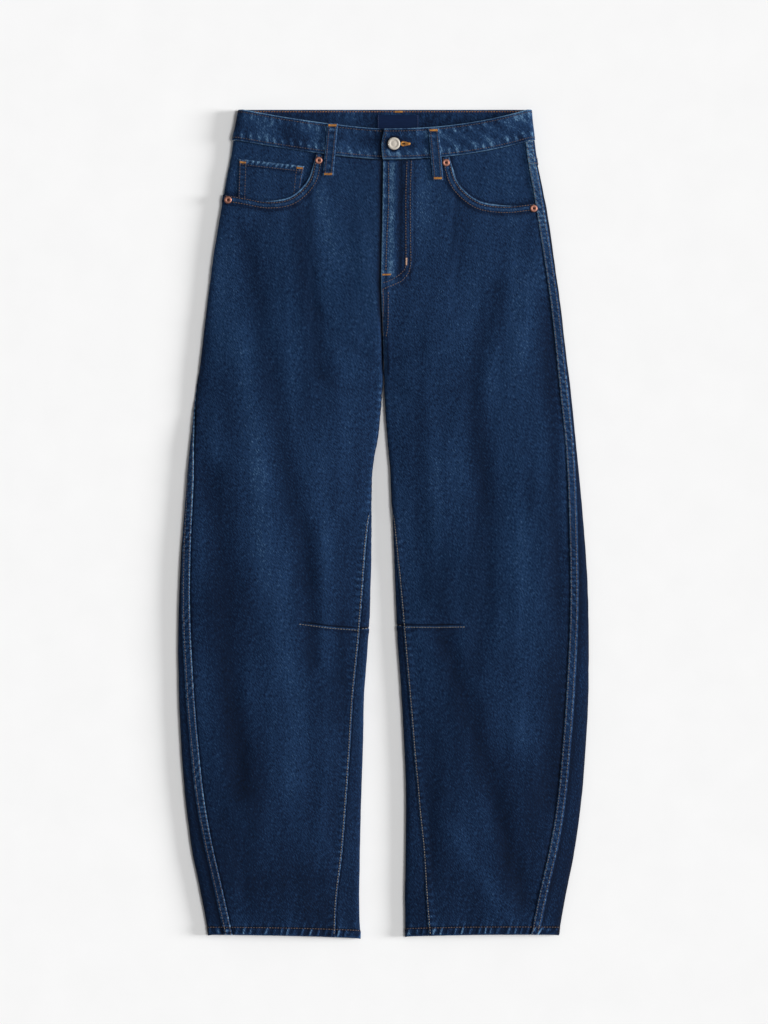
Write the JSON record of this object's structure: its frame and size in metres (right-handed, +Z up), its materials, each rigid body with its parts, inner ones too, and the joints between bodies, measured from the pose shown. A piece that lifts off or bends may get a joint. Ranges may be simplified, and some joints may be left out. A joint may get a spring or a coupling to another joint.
{
  "type": "barrel leg denim trousers, laid flat",
  "caption": "Dark indigo five-pocket denim trousers with a high waist and curved barrel legs, laid flat front side up.",
  "frame": {"origin": "on the surface that the garment lies on, under the middle of its outline", "axes": "+Y from the hems to the waist, +X to the wearer's left, +Z up out of the front"},
  "size_m": [0.5011, 1.0082, 0.0219],
  "materials": {
    "denim": "rinsed indigo twill with light wear at the seams",
    "thread": "copper brown topstitching",
    "bartack": "dense orange stitching",
    "label": "plain navy woven tape",
    "zip": "navy zip tape",
    "button": "matt silver",
    "rivet": "copper plated"
  },
  "bodies": {
    "root": {"front_right": "denim", "front_left": "denim", "back_right": "denim", "back_left": "denim", "back_yoke_right": "denim", "back_yoke_left": "denim", "back_pocket_right": "denim", "back_pocket_left": "denim", "pocket_facing_right": "denim", "pocket_facing_left": "denim", "coin_pocket": "denim", "fly_facing": "denim", "waistband": "denim", "belt_loop_front_right": "denim", "belt_loop_front_left": "denim", "belt_loop_side_right": "denim", "belt_loop_side_left": "denim", "belt_loop_back": "denim", "zip": "zip", "label": "label", "button": "button", "rivet_right_inner": "rivet", "rivet_right_outer": "rivet", "rivet_left_inner": "rivet", "rivet_left_outer": "rivet"}
  },
  "joints": []
}
